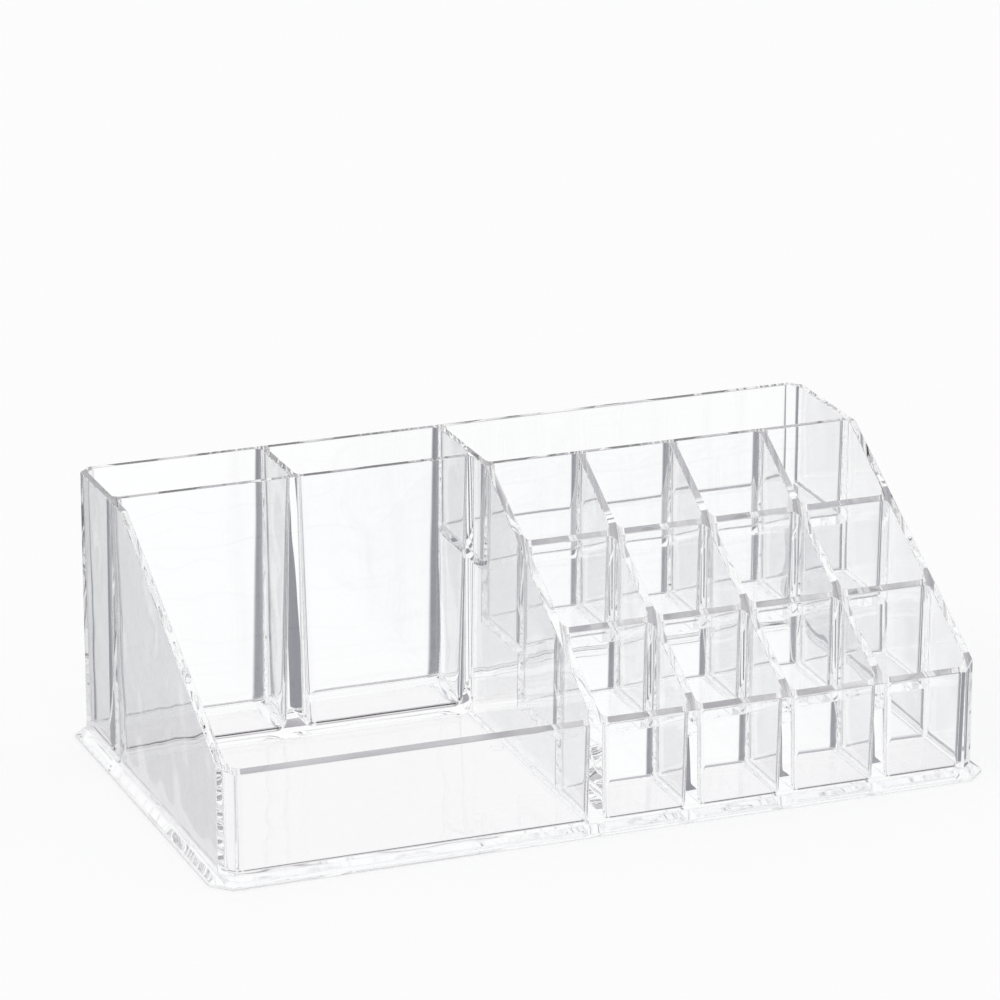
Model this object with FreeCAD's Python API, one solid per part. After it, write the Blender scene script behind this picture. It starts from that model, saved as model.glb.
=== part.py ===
import FreeCAD, Part
import math
import os

# Clear vanity organizer: a cosmetics tray of glossy clear plastic with two tall bins and an open
# tray on the left, and a stepped rack of square slots with one long bin behind it on the right.
# X runs to the right, Y to the back and Z up from the table. The origin is on the table, under the
# middle of the footprint. All sizes are in millimetres.

# Outer body
body_length = 218.0       # left end to right end, above the skirt
body_depth = 121.2        # front face to back face, above the skirt
height = 78.0             # table to the flat rear rim
corner_cut = 3.6          # leg of the flat cut on the upright corners
skirt_reach = 3.0         # how far the skirt stands out round the foot
skirt_edge = 0.8          # upright edge of the skirt on the table
skirt_height = 2.6        # table to the top of the sloping skirt

# Walls
rim_wall = 2.0            # every wall at its rim
draft = 1.0               # degrees by which each pocket face leans
base_floor = 2.5          # floor of the tray, tall bins and front slots
raised_floor = 2.0        # plate under each raised compartment

# Falling rims of the front part
rim_fall = 30.0           # degrees below the level
level_past_bin = 2.2      # level rims run on this far in front of the long bin's front wall

# Compartments
slot_pitch = 27.6         # square slots, wall centre to wall centre
slot_columns = 4
slot_rows = 3
floor_rise = 15.3         # each row's floor above the row in front of it
tall_bin_depth = 25.5     # inside, front to back at the rim
slot_corner = 1.8         # radius of a slot's upright corners
slot_foot = 1.2           # radius round a slot's floor
bin_corner = 1.8          # radius of a tall bin's upright corners at the rim
bin_corner_low = 3.7      # the same corners at the floor
bin_foot = 3.5            # radius round a tall bin's floor
tray_corner = 2.4
tray_foot = 1.4
gate_mark = 4.0           # diameter of the shallow round mark on the tray floor
gate_depth = 0.25
gate_from_rack = 6.0      # mark's centre from the rack's side wall

# Bonded seams between the panels
seam_room = 4.0           # plain wall kept between a wall's face and the seam beside it
foot_room = 0.8           # plain wall kept between a floor's rounding and the seam above it

taper = math.tan(math.radians(draft))
fall = math.tan(math.radians(rim_fall))
left, right = -body_length / 2, body_length / 2
front, back = -body_depth / 2, body_depth / 2
half_wall = rim_wall / 2
overshoot = 1.0           # cutters run this far past the faces that they open

# Wall centre lines
rack_side = right - half_wall - slot_columns * slot_pitch
column_walls = [rack_side + slot_pitch * i for i in range(slot_columns + 1)]
row_walls = [front + half_wall + slot_pitch * i for i in range(slot_rows + 1)]
rear_bin_front = row_walls[-1]
fall_start = rear_bin_front - level_past_bin
tall_bin_front = back - rim_wall - tall_bin_depth - half_wall
tall_bin_middle = (left + half_wall + rack_side) / 2

# Floors, from the front row to the long bin behind the rack
rack_floors = [base_floor + floor_rise * i for i in range(slot_rows + 1)]


def rim(y):
    """Height of the rim at a distance along the depth."""
    return min(height, height - (fall_start - y) * fall)


def box(x0, x1, y0, y1, z0, z1):
    return Part.makeBox(x1 - x0, y1 - y0, z1 - z0, FreeCAD.Vector(x0, y0, z0))


def side_prism(outline, x0, x1):
    """A prism along X over an outline of (y, z) points."""
    points = [FreeCAD.Vector(x0, y, z) for y, z in outline]
    face = Part.Face(Part.makePolygon(points + points[:1]))
    return face.extrude(FreeCAD.Vector(x1 - x0, 0, 0))


def frustum(low, high):
    """The closed solid between two polygons with the same number of corners."""
    count = len(low)
    rings = [low[::-1], high]
    rings += [[low[i], low[(i + 1) % count], high[(i + 1) % count], high[i]] for i in range(count)]
    faces = [Part.Face(Part.makePolygon(ring + ring[:1])) for ring in rings]
    solid = Part.Solid(Part.makeShell(faces))
    solid.fixTolerance(1e-6)
    return solid


def outline(x0, x1, y0, y1, z, cuts):
    """Rectangle whose named corners are cut flat; each cut gives the leg of that corner."""
    corners = [("front_left", x0, y0, 0, 1, 1, 0), ("front_right", x1, y0, -1, 0, 0, 1),
               ("back_right", x1, y1, 0, -1, -1, 0), ("back_left", x0, y1, 1, 0, 0, -1)]
    points = []
    for name, x, y, ax, ay, bx, by in corners:
        leg = cuts.get(name, 0)
        points.append(FreeCAD.Vector(x + ax * leg, y + ay * leg, z))
        if leg:
            points.append(FreeCAD.Vector(x + bx * leg, y + by * leg, z))
    return points


def pocket(sides, floor, corner, corner_low, foot, cuts=()):
    """A compartment: four leaning faces, each given by its place and the height of its rim."""
    (x0, zx0), (x1, zx1), (y0, zy0), (y1, zy1) = sides
    inner_cut = corner_cut - rim_wall * (2 - math.sqrt(2))
    legs = {name: inner_cut for name in cuts}

    def section(z):
        return outline(x0 + (zx0 - z) * taper, x1 - (zx1 - z) * taper,
                       y0 + (zy0 - z) * taper, y1 - (zy1 - z) * taper, z, legs)

    solid = frustum(section(floor), section(height + overshoot))
    for edge in range(len(section(floor))):
        low = section(floor)[edge]
        upright = [e for e in solid.Edges if e.BoundBox.ZLength > height / 4
                   and min(v.Point.distanceToPoint(low) for v in e.Vertexes) < 1e-4]
        starts_low = upright[0].valueAt(upright[0].FirstParameter).z < floor + 1
        radii = (corner_low, corner) if starts_low else (corner, corner_low)
        solid = solid.makeFillet(radii[0], radii[1], upright)
    foot_edges = [e for e in solid.Edges if e.BoundBox.ZMax < floor + 1e-3]
    return solid.makeFillet(foot, foot_edges)


def slot_pocket(column, row):
    """One square slot of the rack."""
    x0, x1 = column_walls[column] + half_wall, column_walls[column + 1] - half_wall
    y0, y1 = row_walls[row] + half_wall, row_walls[row + 1] - half_wall
    high = rim(row_walls[row + 1])
    sides = [(x0, high), (x1, high), (y0, rim(row_walls[row])), (y1, high)]
    cuts = ["front_right"] if row == 0 and column == slot_columns - 1 else []
    return pocket(sides, rack_floors[row], slot_corner, slot_corner, slot_foot, cuts)


def bin_pocket(x0, x1, cuts):
    """One of the two tall bins."""
    y0, y1 = tall_bin_front + half_wall, back - rim_wall
    sides = [(x, height) for x in (x0, x1, y0, y1)]
    return pocket(sides, base_floor, bin_corner, bin_corner_low, bin_foot, cuts)


def make_pockets():
    """Every compartment as the solid of the space in it."""
    spaces = [slot_pocket(c, r) for r in range(slot_rows) for c in range(slot_columns)]
    rear = [(rack_side + half_wall, height), (right - rim_wall, height),
            (rear_bin_front + half_wall, height), (back - rim_wall, height)]
    spaces.append(pocket(rear, rack_floors[-1], slot_corner, slot_corner, slot_foot, ["back_right"]))
    spaces.append(bin_pocket(left + rim_wall, tall_bin_middle - half_wall, ["back_left"]))
    spaces.append(bin_pocket(tall_bin_middle + half_wall, rack_side - half_wall, []))
    tray = [(left + rim_wall, height), (rack_side - half_wall, height),
            (front + rim_wall, rim(front)), (tall_bin_front - half_wall, height)]
    spaces.append(pocket(tray, base_floor, tray_corner, tray_corner, tray_foot, ["front_left"]))
    return spaces


def make_shell():
    """The outer block with its skirt, cut to the falling rim."""
    names = ["front_left", "front_right", "back_right", "back_left"]
    cuts = dict.fromkeys(names, corner_cut)
    wide = dict.fromkeys(names, corner_cut + skirt_reach * (2 - math.sqrt(2)))
    reach = (left - skirt_reach, right + skirt_reach, front - skirt_reach, back + skirt_reach)
    body = Part.Face(Part.makePolygon(outline(left, right, front, back, 0, cuts) +
                                      outline(left, right, front, back, 0, cuts)[:1]))
    block = body.extrude(FreeCAD.Vector(0, 0, height))
    edge = frustum(outline(*reach, 0, wide), outline(*reach, skirt_edge, wide))
    slope = frustum(outline(*reach, skirt_edge, wide),
                    outline(left, right, front, back, skirt_height, cuts))
    far = front - skirt_reach - overshoot
    wedge = side_prism([(fall_start, height), (far, height - (fall_start - far) * fall),
                        (far, height + overshoot), (fall_start, height + overshoot)],
                       left - overshoot, right + overshoot)
    return block.fuse([edge, slope]).cut(wedge).removeSplitter()


def make_hollow():
    """The stepped space under the raised floors, open to the table."""
    ceilings = [(row_walls[i] + half_wall, rack_floors[i] - raised_floor)
                for i in range(1, slot_rows + 1)]
    steps = [(ceilings[0][0], -overshoot)]
    for i, (y, z) in enumerate(ceilings):
        next_y = ceilings[i + 1][0] if i + 1 < len(ceilings) else back - rim_wall
        steps += [(y, z), (next_y, z)]
    steps.append((back - rim_wall, -overshoot))
    return side_prism(steps, rack_side + half_wall, right - rim_wall)


def make_zones():
    """The space that each panel takes up, bounded by the seams."""
    reach = half_wall + seam_room
    inset = rim_wall + seam_room
    x0, x1 = left + inset, right - inset
    y0, y1 = front + inset, back - inset
    out = skirt_reach + overshoot
    foot = base_floor + bin_foot + foot_room
    feet = [foot] + [z + slot_foot + foot_room for z in rack_floors[1:]]
    top = height + overshoot
    side0, side1 = rack_side - reach, rack_side + reach
    zones = {
        "base": box(left - out, right + out, front - out, back + out, -overshoot, foot),
        "back_wall": box(left - out, right + out, y1, back + out, foot, top),
        "front_wall": box(left - out, right + out, front - out, y0, foot, top),
        "left_end_wall": box(left - out, x0, y0, y1, foot, top),
        "right_end_wall": box(x1, right + out, y0, y1, foot, top),
        "rack_side_wall": box(side0, side1, y0, y1, foot, top),
        "tall_bin_front_wall": box(x0, side0, tall_bin_front - reach, tall_bin_front + reach, foot, top),
        "tall_bin_divider": box(x0, side0, tall_bin_front + reach, y1, foot, top),
        "rear_bin_front_wall": box(side1, x1, rear_bin_front - reach, rear_bin_front + reach, feet[2], top),
        "rear_bin_floor": box(side1, x1, rear_bin_front + reach, y1, foot, top),
    }
    row_names = ["middle_row", "upper_row"]
    for i, name in enumerate(row_names, start=1):
        zones[name + "_floor"] = box(side1, x1, row_walls[i] + reach, row_walls[i + 1] + reach, foot, feet[i])
    stair = [(y0, foot)]
    for i in (1, 2):
        stair += [(row_walls[i] + reach, feet[i - 1]), (row_walls[i] + reach, feet[i])]
    stair += [(rear_bin_front - reach, feet[2]), (rear_bin_front - reach, top), (y0, top)]
    for i in range(1, slot_columns):
        zones[f"rack_divider_{i}"] = side_prism(stair, column_walls[i] - reach, column_walls[i] + reach)
    for i, name in enumerate(row_names, start=1):
        for c in range(slot_columns):
            lo = column_walls[c] + reach
            hi = min(column_walls[c + 1] - reach, x1)
            zones[f"{name}_front_{c + 1}"] = box(lo, hi, row_walls[i] - reach, row_walls[i] + reach,
                                                 feet[i - 1], top)
    return zones


def make_body():
    """The whole organizer before it is parted at its seams."""
    mark = Part.makeCylinder(gate_mark / 2, gate_depth + overshoot,
                             FreeCAD.Vector(rack_side - gate_from_rack, 0, base_floor - gate_depth))
    return make_shell().cut(make_pockets() + [make_hollow(), mark])


def main():
    os.makedirs("parts", exist_ok=True)
    body = make_body()
    total = 0.0
    for name, zone in make_zones().items():
        piece = body.common(zone)
        solids = piece.Solids
        print(name, len(solids), "solid", round(piece.Volume, 1), "mm3", piece.isValid())
        total += piece.Volume
        solids[0].exportStep(f"parts/{name}.step")
    print("body", round(body.Volume, 1), "panels", round(total, 1), "mm3")


main()
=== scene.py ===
# %% [markdown]
# # A clear vanity organizer
# The object is a cosmetics organizer of clear, glossy plastic: an open tray, two tall bins, and a stepped
# rack of square slots with a long bin behind it. Everything that shows in such a thing is an edge: the
# rims, the rounded corners where walls meet, and the floors seen through several walls. So the work here
# is exact walls with exact rounded corners, one clear material, and light that lets the edges draw the
# shape.

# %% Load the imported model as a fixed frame
import math
import bpy
import numpy as np
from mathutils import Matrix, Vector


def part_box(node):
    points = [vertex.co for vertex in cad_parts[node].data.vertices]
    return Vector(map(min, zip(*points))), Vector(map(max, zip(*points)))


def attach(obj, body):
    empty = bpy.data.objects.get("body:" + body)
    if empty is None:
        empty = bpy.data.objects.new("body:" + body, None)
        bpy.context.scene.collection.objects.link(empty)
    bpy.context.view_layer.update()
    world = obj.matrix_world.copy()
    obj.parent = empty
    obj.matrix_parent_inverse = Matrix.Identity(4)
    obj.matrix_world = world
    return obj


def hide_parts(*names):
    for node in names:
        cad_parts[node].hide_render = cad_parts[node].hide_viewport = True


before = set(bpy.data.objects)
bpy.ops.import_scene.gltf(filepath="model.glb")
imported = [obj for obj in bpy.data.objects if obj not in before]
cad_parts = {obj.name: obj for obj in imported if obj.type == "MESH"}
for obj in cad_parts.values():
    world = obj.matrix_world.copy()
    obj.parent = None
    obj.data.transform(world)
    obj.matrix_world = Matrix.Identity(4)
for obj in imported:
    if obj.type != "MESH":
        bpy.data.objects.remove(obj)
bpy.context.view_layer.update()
scene = bpy.context.scene
scene.view_settings.view_transform = "Standard"
mm = 0.001

# %% [markdown]
# ## Long paths of light
# Light that enters a clear wall at its rim is mirrored inside it many times before it comes out. A path that
# is cut short turns black, so the limits on bounces are high. The blur of mirrored light is off, because it
# would soften the fine lines.

# %% Let light run on inside the plastic
long_path = 1024
scene.cycles.max_bounces = long_path
scene.cycles.transmission_bounces = long_path
scene.cycles.glossy_bounces = long_path
scene.cycles.transparent_max_bounces = 128
scene.cycles.diffuse_bounces = 8
scene.cycles.blur_glossy = 0.0
print("paths of up to", long_path, "bounces")

# %% [markdown]
# ## Sizes
# The frame knows where the outer faces, the wall centres and the bonded seams are, so they are read from
# the boxes of its nodes and not typed again. Only what a box can't tell is written here: how thick a wall
# is at its rim, how much the faces of a compartment lean, how the rims fall, how the outer corners are cut,
# and what the skirt and the floors measure.

# %% Read the places of the walls from the frame
rim_wall = 2.0 * mm
lean = math.tan(math.radians(1.0))
rim_fall = math.tan(math.radians(30.0))
level_past_bin = 2.2 * mm
corner_cut = 3.6 * mm
skirt_edge, skirt_height = 0.8 * mm, 2.6 * mm
base_floor, raised_floor = 2.5 * mm, 2.0 * mm
half_wall = rim_wall / 2
overshoot = 1.0 * mm
slot_rows, slot_columns = 3, 4


def edges(node):
    """Lowest and highest corner of a node as two arrays, rounded to a micrometre so that seams meet."""
    lo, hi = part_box(node)
    return np.round(np.array(lo), 6), np.round(np.array(hi), 6)


back_lo, back_hi = edges("back_wall")
left, right, back, height = back_lo[0], back_hi[0], back_hi[1], back_hi[2]
front = edges("front_wall")[0][1]
skirt_reach = edges("base")[1][0] - right
rack_side = np.mean([e[0] for e in edges("rack_side_wall")])
slot_pitch = np.mean([e[0] for e in edges("rack_divider_1")]) - rack_side
columns = rack_side + slot_pitch * np.arange(slot_columns + 1)
rows = front + half_wall + slot_pitch * np.arange(slot_rows + 1)
rear_bin_front = rows[slot_rows]
fall_start = rear_bin_front - level_past_bin
seam_reach = edges("rear_bin_front_wall")[1][1] - rear_bin_front
tall_bin_front = edges("tall_bin_front_wall")[1][1] - seam_reach
tall_bin_middle = np.mean([e[0] for e in edges("tall_bin_divider")])
floor_rise = edges("upper_row_floor")[0][2] - edges("middle_row_floor")[0][2]
floors = base_floor + floor_rise * np.arange(slot_rows + 1)
print("slot pitch", round(slot_pitch / mm, 2), "mm, floors at", np.round(floors / mm, 1), "mm")

# %% [markdown]
# ## A rounded outline
# Each compartment is the space left by a mould core: an outline with rounded corners that grows a little
# on its way up, with its foot rounded off. Seen as a surface, it is a function of two parameters: how far
# round the outline a point is, and how far up. Both are worked out for all points at once.

# %% Rounded outlines as arrays
def rounded_rings(corners, radii, steps=12):
    """Rings of points round polygons whose corners are arcs.

    corners is (levels, corners, 2), anticlockwise, and radii (levels, corners). With the direction u into a
    corner, its left normal n and the turn t, the arc of radius r starts r tan(t/2) before the corner, about
    a centre r to the left, and its points are centre + r (sin(a) u - cos(a) n) for a from 0 to t.
    """
    into = corners - np.roll(corners, 1, axis=1)
    into = into / np.linalg.norm(into, axis=2, keepdims=True)
    away = np.roll(into, -1, axis=1)
    normal = np.stack([-into[..., 1], into[..., 0]], axis=2)
    turn = np.arctan2(into[..., 0] * away[..., 1] - into[..., 1] * away[..., 0], (into * away).sum(axis=2))
    start = corners - into * (radii * np.tan(turn / 2))[..., None]
    centre = start + normal * radii[..., None]
    angle = turn[..., None] * np.linspace(0.0, 1.0, steps + 1)
    reach = radii[..., None, None]
    arcs = centre[:, :, None] + reach * (np.sin(angle)[..., None] * into[:, :, None]
                                         - np.cos(angle)[..., None] * normal[:, :, None])
    return arcs.reshape(len(corners), -1, 2)


print("rounded outlines ready")

# %% [markdown]
# ## From outlines to solids
# Outlines stacked at several heights make a loft, and one outline carried along X makes a prism. Extruding
# by hand would give the same faces, but here every point is an array value, so a size can change at will.

# %% Lofts and prisms
def new_mesh(name, points, faces, material):
    """A mesh object at the origin from an array of points and a list of faces."""
    mesh = bpy.data.meshes.new(name)
    mesh.from_pydata(points.reshape(-1, 3), [], faces)
    mesh.materials.append(material)
    mesh.validate()
    piece = bpy.data.objects.new(name, mesh)
    scene.collection.objects.link(piece)
    return piece


def loft(name, rings, heights, material):
    """A closed solid through rings (levels, points, 2) at heights (levels), with a flat cap at each end."""
    levels, count = rings.shape[:2]
    tall = np.broadcast_to(heights[:, None, None], (levels, count, 1))
    points = np.concatenate([rings, tall], axis=2)
    i = np.arange(count)
    j = (i + 1) % count
    row = count * np.arange(levels - 1)[:, None]
    quads = np.stack([row + i, row + j, row + count + j, row + count + i], axis=2).reshape(-1, 4)
    caps = [i[::-1].tolist(), (count * (levels - 1) + i).tolist()]
    return new_mesh(name, points, quads.tolist() + caps, material)


def side_prism(name, outline, x0, x1, material):
    """A prism along X: an outline of (y, z) points, anticlockwise seen from +X, carried from x0 to x1."""
    outline = np.array(outline)
    rings = np.concatenate([np.c_[np.full(len(outline), x), outline] for x in (x0, x1)])
    count = len(outline)
    i = np.arange(count)
    j = (i + 1) % count
    quads = np.stack([i, j, count + j, count + i], axis=1)
    caps = [i[::-1].tolist(), (count + i).tolist()]
    return new_mesh(name, rings, quads.tolist() + caps, material)


print("lofts and prisms ready")

# %% [markdown]
# ## The clear plastic
# Clear moulding plastic is a plain refracting body: no colour of its own, full transmission and a
# refractive index between 1.49 (acrylic) and 1.59 (polystyrene). The lower one is used, which mirrors
# less. What keeps it from looking like a computer's glass is the mould: its faces aren't quite flat, so
# what is seen through them swims a little, and handling leaves a fine haze. Both come from one node group
# that gives a height for the bump and a roughness, from Object coordinates.

# %% The moulded-surface group
haze_starts, haze_full = 0.45, 0.8


def moulded_surface():
    """Node group: slow waves of the moulded faces as Height, and fine handling haze as Roughness."""
    group = bpy.data.node_groups.new("moulded_surface", "ShaderNodeTree")
    for name, value in (("Wave Scale", 38.0), ("Haze Scale", 420.0), ("Haze High", 0.03)):
        socket = group.interface.new_socket(name, in_out="INPUT", socket_type="NodeSocketFloat")
        socket.default_value = value
    group.interface.new_socket("Height", in_out="OUTPUT", socket_type="NodeSocketFloat")
    group.interface.new_socket("Roughness", in_out="OUTPUT", socket_type="NodeSocketFloat")
    nodes, links = group.nodes, group.links
    given = nodes.new("NodeGroupInput")
    made = nodes.new("NodeGroupOutput")
    where = nodes.new("ShaderNodeTexCoord")
    waves = nodes.new("ShaderNodeTexNoise")
    waves.inputs["Detail"].default_value = 1.0
    haze = nodes.new("ShaderNodeTexNoise")
    haze.inputs["Detail"].default_value = 3.0
    spread = nodes.new("ShaderNodeMapRange")
    spread.inputs["From Min"].default_value = haze_starts
    spread.inputs["From Max"].default_value = haze_full
    spread.inputs["To Min"].default_value = 0.0
    for noise, scale in ((waves, "Wave Scale"), (haze, "Haze Scale")):
        links.new(where.outputs["Object"], noise.inputs["Vector"])
        links.new(given.outputs[scale], noise.inputs["Scale"])
    links.new(haze.outputs["Fac"], spread.inputs["Value"])
    links.new(given.outputs["Haze High"], spread.inputs["To Max"])
    links.new(waves.outputs["Fac"], made.inputs["Height"])
    links.new(spread.outputs["Result"], made.inputs["Roughness"])
    return group


moulded_group = moulded_surface()
print("group:", moulded_group.name)

# %% [markdown]
# ## Three finishes
# The walls and floors are the clear plastic itself. The underside rubs on the table, so it has the same
# plastic with more haze. Its greyer tint is painted shadow: it stands for the object's shadow on the floor
# beneath, which a view through the plastic never reaches. A bonded seam is filled with cement of the same
# index, so it can't be seen, and its faces are simply see-through. Leaving those faces out would open the
# panels.

# %% The three materials
refractive_index = 1.49
wave_depth = 0.4 * mm


def clear_plastic_material(name, tint, haze_high):
    """Clear plastic: plain transmission with a tint, the mould's waves, and haze up to a given roughness."""
    material = bpy.data.materials.new(name)
    material.use_nodes = True
    nodes, links = material.node_tree.nodes, material.node_tree.links
    shader = nodes["Principled BSDF"]
    shader.inputs["Base Color"].default_value = (*tint, 1.0)
    shader.inputs["Transmission Weight"].default_value = 1.0
    shader.inputs["IOR"].default_value = refractive_index
    surface = nodes.new("ShaderNodeGroup")
    surface.node_tree = moulded_group
    surface.inputs["Haze High"].default_value = haze_high
    bump = nodes.new("ShaderNodeBump")
    bump.inputs["Strength"].default_value = 1.0
    bump.inputs["Distance"].default_value = wave_depth
    links.new(surface.outputs["Height"], bump.inputs["Height"])
    links.new(bump.outputs["Normal"], shader.inputs["Normal"])
    links.new(surface.outputs["Roughness"], shader.inputs["Roughness"])
    return material


def bonded_seam_material():
    """A bonded seam: the cement fills it with the same index, so light passes as if it weren't there."""
    material = bpy.data.materials.new("bonded_seam")
    material.use_nodes = True
    shader = material.node_tree.nodes["Principled BSDF"]
    shader.inputs["Alpha"].default_value = 0.0
    return material


clear_plastic = clear_plastic_material("clear_plastic", (0.994, 0.996, 1.0), 0.03)
# The underside's extra haze is wear; its greyer tint is painted shadow, standing for the object's shadow on
# the floor beneath.
underside_haze_and_painted_shadow = clear_plastic_material("underside_haze_and_painted_shadow", (0.87, 0.85, 0.86), 0.05)
bonded_seam = bonded_seam_material()
print("materials:", clear_plastic.name, underside_haze_and_painted_shadow.name, bonded_seam.name)

# %% [markdown]
# ## The block
# The outside is one loft: the skirt's foot, its edge, the top of its slope and the rim, all from the same
# rectangle with its corners cut flat. A wedge then takes away what lies above the falling rims. A box
# with modifiers would do as well, but the loft takes every size straight from the frame. The faces that
# look down get the underside material here, with its haze and its painted shadow, while they are few, and
# the cuts below carry it on.

# %% Loft the outer block
edge_round = 0.5 * mm
looks_down = -0.9
cut_growth = 2 - math.sqrt(2)


def cut_corners(x0, x1, y0, y1, legs):
    """The corners of a rectangle, anticlockwise from the front left, each cut flat where its leg is above 0.

    A cut corner becomes two points, a leg's length back along the side before it and on along the one after.
    """
    corners = ((x0, y0, (0, 1), (1, 0)), (x1, y0, (-1, 0), (0, 1)),
               (x1, y1, (0, -1), (-1, 0)), (x0, y1, (1, 0), (0, -1)))
    points = []
    for (x, y, before, after), leg in zip(corners, legs):
        points.append((x + before[0] * leg, y + before[1] * leg))
        if leg > 0:
            points.append((x + after[0] * leg, y + after[1] * leg))
    return points


def outer_block():
    """Skirt and walls as one loft through four outlines: the skirt's foot and edge, the walls' foot and rim.

    An outline that reaches r further out has corner cuts longer by (2 - root 2) r, so the cut faces keep
    the same distance as the sides do.
    """
    reach = np.array([skirt_reach, skirt_reach, 0.0, 0.0])
    tall = np.array([0.0, skirt_edge, skirt_height, height])
    corners = np.array([cut_corners(left - r, right + r, front - r, back + r,
                                    [corner_cut + r * cut_growth] * 4) for r in reach])
    rings = rounded_rings(corners, np.full(corners.shape[:2], edge_round), steps=4)
    return loft("block", rings, tall, clear_plastic)


def give_underside_haze_and_painted_shadow(piece):
    """Gives the faces that look down the hazy underside material, whose greyer tint is painted shadow."""
    piece.data.materials.append(underside_haze_and_painted_shadow)
    normals = np.empty(3 * len(piece.data.polygons), dtype=np.float32)
    piece.data.polygons.foreach_get("normal", normals)
    piece.data.polygons.foreach_set("material_index", (normals[2::3] < looks_down).astype(np.int32))


block = outer_block()
give_underside_haze_and_painted_shadow(block)
print("block:", len(block.data.polygons), "faces")

# %% [markdown]
# ## The compartments
# A compartment's face leans outwards on the way up, by one degree, so that the moulding comes off its
# core. The lean starts from the thickness that the wall has at its own rim. The foot is rounded by rings
# that draw in along a quarter circle. In the tall bins the upright corners open from a small radius at
# the rim to a large one at the floor, as the mould's core does.

# %% One compartment
inner_cut = corner_cut - rim_wall * cut_growth
foot_rings = 9
slot_round = {"corner": 1.8 * mm, "corner_low": 1.8 * mm, "foot": 1.2 * mm}
bin_round = {"corner": 1.8 * mm, "corner_low": 3.7 * mm, "foot": 3.5 * mm}
tray_round = {"corner": 2.4 * mm, "corner_low": 2.4 * mm, "foot": 1.4 * mm}


def rim_height(y):
    """Height of the rim at a distance along the depth."""
    return min(height, height - (fall_start - y) * rim_fall)


def compartment(name, sides, floor, corner, corner_low, foot, cut=None):
    """The space of one compartment as a loft.

    sides gives each face's place and the height of its rim: left, right, front, back. At height z a face has
    moved in by (rim - z) lean. Over the foot, at angle a of a quarter circle, the outline draws in further by
    foot (1 - sin a) and stands foot (1 - cos a) above the floor. cut is the number of the corner that is cut
    flat, counted anticlockwise from the front left.
    """
    turn = np.linspace(0.0, math.pi / 2, foot_rings)
    tall = np.concatenate([floor + foot * (1 - np.cos(turn)), [height + overshoot]])
    draw = np.concatenate([foot * (1 - np.sin(turn)), [0.0]])
    (x0, zx0), (x1, zx1), (y0, zy0), (y1, zy1) = sides
    legs = [inner_cut if i == cut else 0.0 for i in range(4)]
    corners = np.array([cut_corners(x0 + (zx0 - z) * lean + d, x1 - (zx1 - z) * lean - d,
                                    y0 + (zy0 - z) * lean + d, y1 - (zy1 - z) * lean - d,
                                    [max(leg - d * cut_growth, 0.0) if leg else 0.0 for leg in legs])
                        for z, d in zip(tall, draw)])
    share = (tall - floor) / (height + overshoot - floor)
    radius = corner_low + (corner - corner_low) * share - draw
    radii = np.repeat(radius[:, None], corners.shape[1], axis=1)
    return loft(name, rounded_rings(corners, radii), tall, clear_plastic)


print("each foot is", foot_rings, "rings")

# %% [markdown]
# ## Sixteen spaces
# The slots stand in rows that rise to the back, and a slot's faces lean from the rims of its own front and
# back walls. The other compartments lean from the top, apart from the tray's low front. A compartment in an
# outer corner of the block has that corner cut flat too, so that the wall keeps its thickness there.

# %% Loft every compartment as the solid of its space
def all_compartments():
    """Slots row by row, then the long bin, the tall bins and the tray."""
    spaces = []
    for r in range(slot_rows):
        rim = rim_height(rows[r + 1])
        for c in range(slot_columns):
            sides = [(columns[c] + half_wall, rim), (columns[c + 1] - half_wall, rim),
                     (rows[r] + half_wall, rim_height(rows[r])), (rows[r + 1] - half_wall, rim)]
            cut = 1 if (r, c) == (0, slot_columns - 1) else None
            spaces.append(compartment(f"slot_{r}_{c}", sides, floors[r], cut=cut, **slot_round))
    y0, y1 = rear_bin_front + half_wall, back - rim_wall
    sides = [(v, height) for v in (rack_side + half_wall, right - rim_wall, y0, y1)]
    spaces.append(compartment("long_bin", sides, floors[slot_rows], cut=2, **slot_round))
    y0 = tall_bin_front + half_wall
    for name, x0, x1, cut in (("tall_bin_1", left + rim_wall, tall_bin_middle - half_wall, 3),
                              ("tall_bin_2", tall_bin_middle + half_wall, rack_side - half_wall, None)):
        sides = [(v, height) for v in (x0, x1, y0, y1)]
        spaces.append(compartment(name, sides, base_floor, cut=cut, **bin_round))
    sides = [(left + rim_wall, height), (rack_side - half_wall, height),
             (front + rim_wall, rim_height(front)), (tall_bin_front - half_wall, height)]
    spaces.append(compartment("tray", sides, base_floor, cut=0, **tray_round))
    return spaces


spaces = all_compartments()
print(len(spaces), "compartments")

# %% [markdown]
# ## Under the rack
# The raised floors are plates, so the rack is hollow below and open to the table. The hollow is a stair-
# shaped outline carried along X. The wedge above the falling rims is made in the same way. The round mark
# on the tray floor is where the mould's gate was, and is a shallow dish turned from three circles.

# %% The hollow, the wedge and the round mark on the tray floor
def hollow_outline():
    """Stairs of (y, z) points under the raised floors."""
    steps = [(rows[1] + half_wall, -overshoot), (back - rim_wall, -overshoot)]
    for i in range(slot_rows, 0, -1):
        y_back = back - rim_wall if i == slot_rows else rows[i + 1] + half_wall
        steps += [(y_back, floors[i] - raised_floor), (rows[i] + half_wall, floors[i] - raised_floor)]
    return steps


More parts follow.
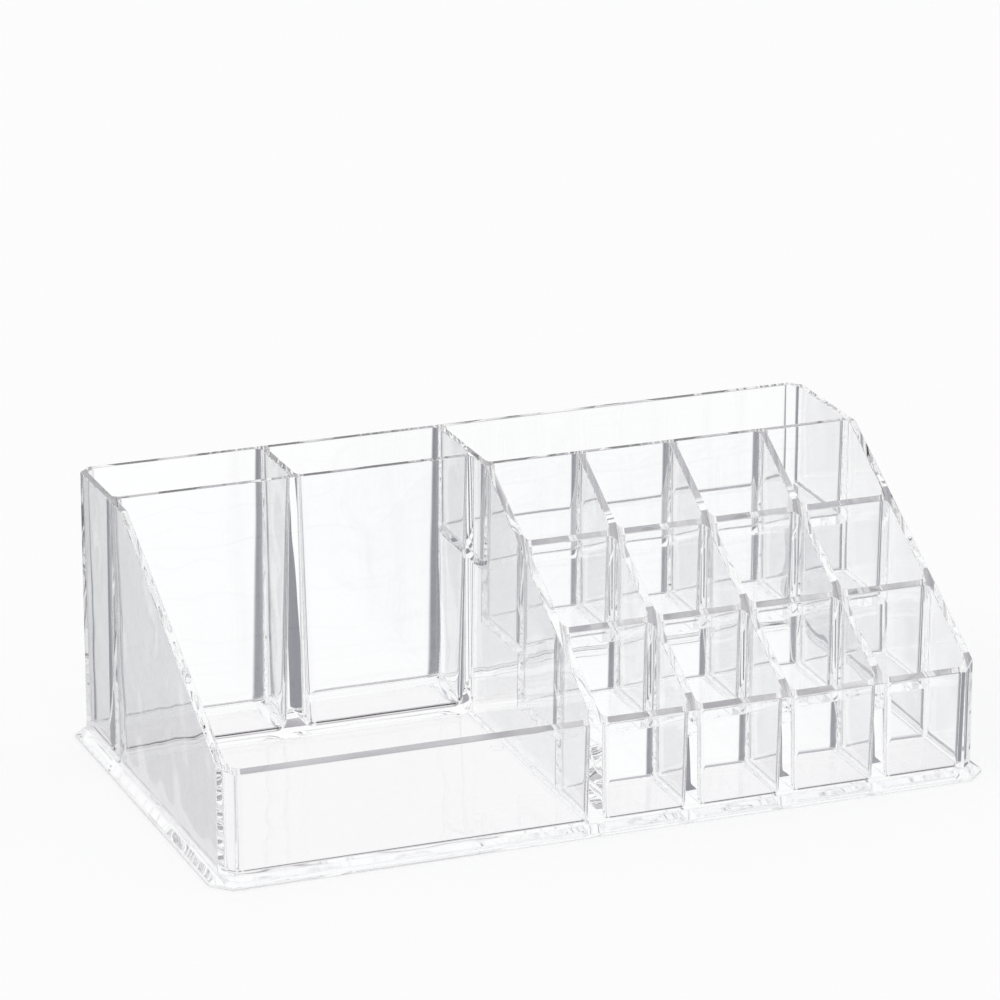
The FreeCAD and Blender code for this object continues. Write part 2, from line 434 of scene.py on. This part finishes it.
hollow = side_prism("hollow", hollow_outline(), rack_side + half_wall, right - rim_wall, clear_plastic)
far = front - 2 * skirt_reach
above_rims = [(fall_start, height), (fall_start, height + overshoot), (far, height + overshoot),
              (far, height - (fall_start - far) * rim_fall)]
wedge = side_prism("wedge", above_rims, left - overshoot, right + overshoot, clear_plastic)
mark_radius, mark_depth, mark_from_rack = 2.0 * mm, 0.25 * mm, 6.0 * mm
mark_widths = np.array([0.8, 1.0, 1.05])
mark_points = 48
round_about = np.linspace(0.0, 2 * math.pi, mark_points, endpoint=False)
circle = np.stack([np.cos(round_about), np.sin(round_about)], axis=1)
mark_middle = np.array([rack_side - mark_from_rack, 0.0])
mark_rings = mark_middle + circle * mark_widths[:, None, None] * mark_radius
mark_heights = base_floor + np.array([-mark_depth, -0.5 * mark_depth, overshoot])
mark = loft("mark", mark_rings, mark_heights, clear_plastic)
print("hollow, wedge and mark:", [len(o.data.polygons) for o in (hollow, wedge, mark)])

# %% [markdown]
# ## Cutting the moulding
# Booleans take the spaces out of the block. A fine Bevel then breaks every sharp edge, as on any moulded
# piece: without it a rim has no line of light. Rounding the rims in each loft instead would not reach the
# edges where two spaces or the wedge meet. The gate mark is cut last, because its own edge stays crisp.

# %% Take the spaces out of the block
def frozen(piece):
    """The piece's mesh with its modifiers worked in."""
    return bpy.data.meshes.new_from_object(piece.evaluated_get(bpy.context.evaluated_depsgraph_get()))


def boolean(piece, other, operation):
    """A Boolean modifier with the solver for closed solids."""
    change = piece.modifiers.new(operation.lower(), "BOOLEAN")
    change.operation = operation
    change.object = other
    change.solver = "MANIFOLD"
    change.material_mode = "TRANSFER"


def drop(*pieces):
    """Removes helper objects."""
    for piece in pieces:
        bpy.data.objects.remove(piece)


def ease_edges(piece, width=0.25 * mm, stray=0.02 * mm, sharper_than=math.radians(32)):
    """Joins the stray points that Booleans leave, then rounds each edge sharper than the arcs' own steps."""
    join = piece.modifiers.new("join", "WELD")
    join.merge_threshold = stray
    ease = piece.modifiers.new("ease", "BEVEL")
    ease.limit_method = "ANGLE"
    ease.angle_limit = sharper_than
    ease.width = width
    ease.segments = 3
    ease.use_clamp_overlap = False


for tool in [wedge, hollow] + spaces:
    boolean(block, tool, "DIFFERENCE")
ease_edges(block)
boolean(block, mark, "DIFFERENCE")
moulding = frozen(block)
drop(block, wedge, hollow, mark, *spaces)
print("moulding:", len(moulding.polygons), "faces")

# %% [markdown]
# ## The panels
# The moulding is parted at the frame's seams. Each panel is what lies in its own zone: the box of its CAD
# node, pushed out where the box ends in air and kept where it ends in a seam. The zone's faces carry the
# seam material, so what is left of them on a panel is the bonded joint. Modelling each panel alone would
# leave the rounded corners to be matched across every seam, while parting one moulding makes them meet
# exactly.

# %% Zones of the panels
sides_of = {"left": (0, 0), "right": (1, 0), "front": (0, 1), "back": (1, 1), "bottom": (0, 2), "top": (1, 2)}


def box_zone(node, seams):
    """A zone from the node's box; a side that isn't a seam is pushed out into the air."""
    corners = np.array(edges(node))
    for side, (end, axis) in sides_of.items():
        if side not in seams:
            corners[end, axis] += (2 * end - 1) * 2 * overshoot
    (x0, y0, z0), (x1, y1, z1) = corners
    return side_prism("zone_" + node, [(y0, z0), (y1, z0), (y1, z1), (y0, z1)], x0, x1, bonded_seam)


def stair_zone(node):
    """A zone for a sloping divider, which stands on three floors."""
    (x0, y0, z0), (x1, y1, z1) = edges(node)
    outline = [(y0, z0)]
    for name in ("middle_row", "upper_row"):
        y, z = edges(name + "_front_1")[1][1], edges(name + "_floor")[1][2]
        outline += [(y, outline[-1][1]), (y, z)]
    outline += [(y1, outline[-1][1]), (y1, z1 + overshoot), (y0, z1 + overshoot)]
    return side_prism("zone_" + node, outline, x0, x1, bonded_seam)


print("zones have", len(sides_of), "sides")

# %% [markdown]
# ## Parting
# Each panel takes the place of its CAD node. Its faces are shaded smooth up to the fine edges, and weighted
# normals keep the flat walls flat beside them, so that nothing seen through a wall bends near its rim.

# %% Part the moulding into the frame's panels
smooth_limit = math.radians(25)


def panel(node, zone):
    """The moulding inside a zone, as the piece that stands for a CAD node."""
    piece = bpy.data.objects.new("clear_" + node, moulding.copy())
    scene.collection.objects.link(piece)
    boolean(piece, zone, "INTERSECT")
    mesh = frozen(piece)
    piece.modifiers.clear()
    piece.data = mesh
    drop(zone)
    mesh.shade_smooth()
    mesh.set_sharp_from_angle(angle=smooth_limit)
    even = piece.modifiers.new("even_normals", "WEIGHTED_NORMAL")
    even.keep_sharp = True
    even.weight = 80
    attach(piece, "root")
    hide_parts(node)
    return piece


seams = {
    "base": "top",
    "back_wall": "front bottom",
    "front_wall": "back bottom",
    "left_end_wall": "right front back bottom",
    "right_end_wall": "left front back bottom",
    "rack_side_wall": "left right front back bottom",
    "tall_bin_front_wall": "left right back bottom",
    "tall_bin_divider": "front back bottom",
    "rear_bin_front_wall": "left right front back bottom",
    "rear_bin_floor": "left right front back",
    "middle_row_floor": "left right front back top",
    "upper_row_floor": "left right front back top",
}
for row in ("middle_row", "upper_row"):
    seams.update({f"{row}_front_{c}": "left right back bottom" for c in range(1, slot_columns + 1)})
panels = [panel(node, box_zone(node, words.split())) for node, words in seams.items()]
dividers = [f"rack_divider_{c}" for c in range(1, slot_columns)]
panels += [panel(node, stair_zone(node)) for node in dividers]
print(len(panels), "panels,", sum(len(p.data.polygons) for p in panels), "faces")

# %% [markdown]
# ## Floor and light
# Clear plastic has no shade of its own: it shows what stands round it. So it is photographed in a white
# tent, and grey cards stand where only its edges can see them. A flat wall lets a view pass straight to
# the white, while a rounded corner or a rim bends it aside to a card and turns grey. That draws the
# shape. The floor is plain and pale, and keeps the soft shadow. A view through the plastic doesn't end on
# it, but goes on to the tent, which is white below as well.

# %% Floor
air_gap = 0.1 * mm
floor_half = 3.0


def pale_floor_material():
    """Pale matt floor, with a slow change of shade too faint to draw the eye."""
    material = bpy.data.materials.new("pale_floor")
    material.use_nodes = True
    nodes, links = material.node_tree.nodes, material.node_tree.links
    shader = nodes["Principled BSDF"]
    shader.inputs["Roughness"].default_value = 0.7
    shader.inputs["Specular IOR Level"].default_value = 0.1
    where = nodes.new("ShaderNodeTexCoord")
    cloud = nodes.new("ShaderNodeTexNoise")
    cloud.inputs["Scale"].default_value = 3.0
    shade = nodes.new("ShaderNodeMix")
    shade.data_type = "RGBA"
    shade.inputs["A"].default_value = (0.985, 0.985, 0.985, 1.0)
    shade.inputs["B"].default_value = (0.975, 0.975, 0.977, 1.0)
    links.new(where.outputs["Object"], cloud.inputs["Vector"])
    links.new(cloud.outputs["Fac"], shade.inputs["Factor"])
    links.new(shade.outputs["Result"], shader.inputs["Base Color"])
    return material


floor_corners = floor_half * np.array([(-1.0, -1.0), (1.0, -1.0), (1.0, 1.0), (-1.0, 1.0)])
pale_floor = new_mesh("pale_floor", np.c_[floor_corners, np.full(4, -air_gap)], [[0, 1, 2, 3]],
                      pale_floor_material())
pale_floor.visible_transmission = False
pale_floor.visible_glossy = False
print("floor", 2 * floor_half, "m wide")

# %% [markdown]
# ## The cards
# A card is a grey field in the tent, given by its headings, its heights and its grey. Headings are degrees
# from +Y towards +X, and a height is the sine of the elevation. Three upright cards at the sides, front and
# back are for the rounded corners. Half a ring lies low on either side for the rims, which bend a view
# steeply down, with a darker stretch for the tall ones, and a card overhead is mirrored in the sloping rims.
# Real cards and lamps could do it too, but fields in the world leave no noise and have soft edges.

# %% The table of cards
card_grey, low_grey = (0.26, 0.262, 0.29, 1.0), (0.03, 0.025, 0.02, 1.0)
ring_grey, top_grey = (0.42, 0.41, 0.44, 1.0), (0.36, 0.36, 0.43, 1.0)
card_height, low_height = (-0.60, 0.02), (-0.92, -0.55)
ring_height, top_height = (-0.92, -0.62), (0.70, 0.87)
cards = {
    "ring_right": ((27.0, 166.0), ring_height, ring_grey),
    "ring_left": ((194.0, 333.0), ring_height, ring_grey),
    "top": ((252.0, 296.0), top_height, top_grey),
    "side": ((30.0, 118.0), card_height, card_grey),
    "front": ((172.0, 250.0), card_height, card_grey),
    "back": ((-26.0, -8.0), card_height, card_grey),
    "low_right": ((108.0, 165.0), low_height, low_grey),
    "low_left": ((195.0, 252.0), low_height, low_grey),
}
heading_soft, height_soft = 6.0, 0.05
print("cards:", *cards)

# %% [markdown]
# ## Soft masks
# A card needs to know which directions fall on it. A smooth step at each of its four limits gives a mask
# that is 1 on the card and fades to 0 beside it, so no card shows a hard edge in the plastic.

# %% Masks of headings and heights
def soft_step(nodes, links, value, low, high):
    """0 where a value is below low, 1 where it is above high, and a smooth rise between."""
    step = nodes.new("ShaderNodeMapRange")
    step.interpolation_type = "SMOOTHSTEP"
    step.inputs["From Min"].default_value = low
    step.inputs["From Max"].default_value = high
    links.new(value, step.inputs["Value"])
    return step.outputs["Result"]


def product(nodes, links, first, second):
    """Two masks multiplied."""
    step = nodes.new("ShaderNodeMath")
    step.operation = "MULTIPLY"
    links.new(first, step.inputs[0])
    links.new(second, step.inputs[1])
    return step.outputs[0]


def heading_mask(nodes, links, heading, first, last):
    """1 between two headings, in degrees from +Y towards +X, and 0 beside them.

    The cosine between a heading and their middle falls evenly to both sides, so one limit serves for both.
    """
    middle, half = math.radians((first + last) / 2), (last - first) / 2
    near = nodes.new("ShaderNodeVectorMath")
    near.operation = "DOT_PRODUCT"
    near.inputs[1].default_value = (math.sin(middle), math.cos(middle), 0.0)
    links.new(heading, near.inputs[0])
    limits = [math.cos(math.radians(half + turn)) for turn in (heading_soft, -heading_soft)]
    return soft_step(nodes, links, near.outputs["Value"], *limits)


def height_mask(nodes, links, sine, first, last):
    """1 where a direction's height, the sine of its elevation, is between two values."""
    above = soft_step(nodes, links, sine, first - height_soft, first + height_soft)
    below = soft_step(nodes, links, sine, last + height_soft, last - height_soft)
    return product(nodes, links, above, below)


print("masks fade over", heading_soft, "degrees and", height_soft, "of height")

# %% [markdown]
# ## The tent
# The world is plain white at strength 1, which lights the floor and the background. The cards are laid over
# it only for rays that the plastic has mirrored or let through, so they draw edges and light nothing.

# %% World
def shaded(nodes, links, colour, grey, mask):
    """A colour with a grey laid over it where the mask is 1."""
    shade = nodes.new("ShaderNodeMix")
    shade.data_type = "RGBA"
    shade.inputs["B"].default_value = grey
    links.new(colour, shade.inputs["A"])
    links.new(mask, shade.inputs["Factor"])
    return shade.outputs["Result"]


def white_tent():
    """White all round, with the cards for light that the plastic has bent or mirrored."""
    world = bpy.data.worlds.new("white_tent")
    world.use_nodes = True
    nodes, links = world.node_tree.nodes, world.node_tree.links
    where = nodes.new("ShaderNodeTexCoord")
    parts = nodes.new("ShaderNodeSeparateXYZ")
    level = nodes.new("ShaderNodeVectorMath")
    level.operation = "MULTIPLY"
    level.inputs[1].default_value = (1.0, 1.0, 0.0)
    heading = nodes.new("ShaderNodeVectorMath")
    heading.operation = "NORMALIZE"
    links.new(where.outputs["Generated"], parts.inputs["Vector"])
    links.new(where.outputs["Generated"], level.inputs[0])
    links.new(level.outputs["Vector"], heading.inputs[0])
    path = nodes.new("ShaderNodeLightPath")
    through = nodes.new("ShaderNodeMath")
    through.operation = "MAXIMUM"
    links.new(path.outputs["Is Glossy Ray"], through.inputs[0])
    links.new(path.outputs["Is Transmission Ray"], through.inputs[1])
    white = nodes.new("ShaderNodeRGB")
    white.outputs[0].default_value = (1.0, 1.0, 1.0, 1.0)
    colour = white.outputs[0]
    for headings, heights, grey in cards.values():
        level_field = height_mask(nodes, links, parts.outputs["Z"], *heights)
        turn_field = heading_mask(nodes, links, heading.outputs["Vector"], *headings)
        mask = product(nodes, links, product(nodes, links, level_field, turn_field), through.outputs[0])
        colour = shaded(nodes, links, colour, grey, mask)
    links.new(colour, nodes["Background"].inputs["Color"])
    return world


scene.world = white_tent()
print("white tent with", len(cards), "grey cards")

# %% [markdown]
# ## Camera
# A long lens from a metre and a half away keeps the uprights nearly parallel. It looks down by about
# nineteen degrees from the front, a little to the left, so that the floors and the steps of the rack
# show.

# %% Camera
camera_data = bpy.data.cameras.new("camera")
look_down, look_right = math.radians(18.728), math.radians(21.458)
camera_data.lens = 199.9
camera_data.sensor_width = 36.0
camera = bpy.data.objects.new("camera", camera_data)
camera.location = (-0.5314, -1.3333, 0.5609)
camera.rotation_euler = (math.pi / 2 - look_down, 0.0, -look_right)
scene.collection.objects.link(camera)
scene.camera = camera
print("camera at", [round(v, 3) for v in camera.location], "with a lens of", round(camera_data.lens, 1), "mm")
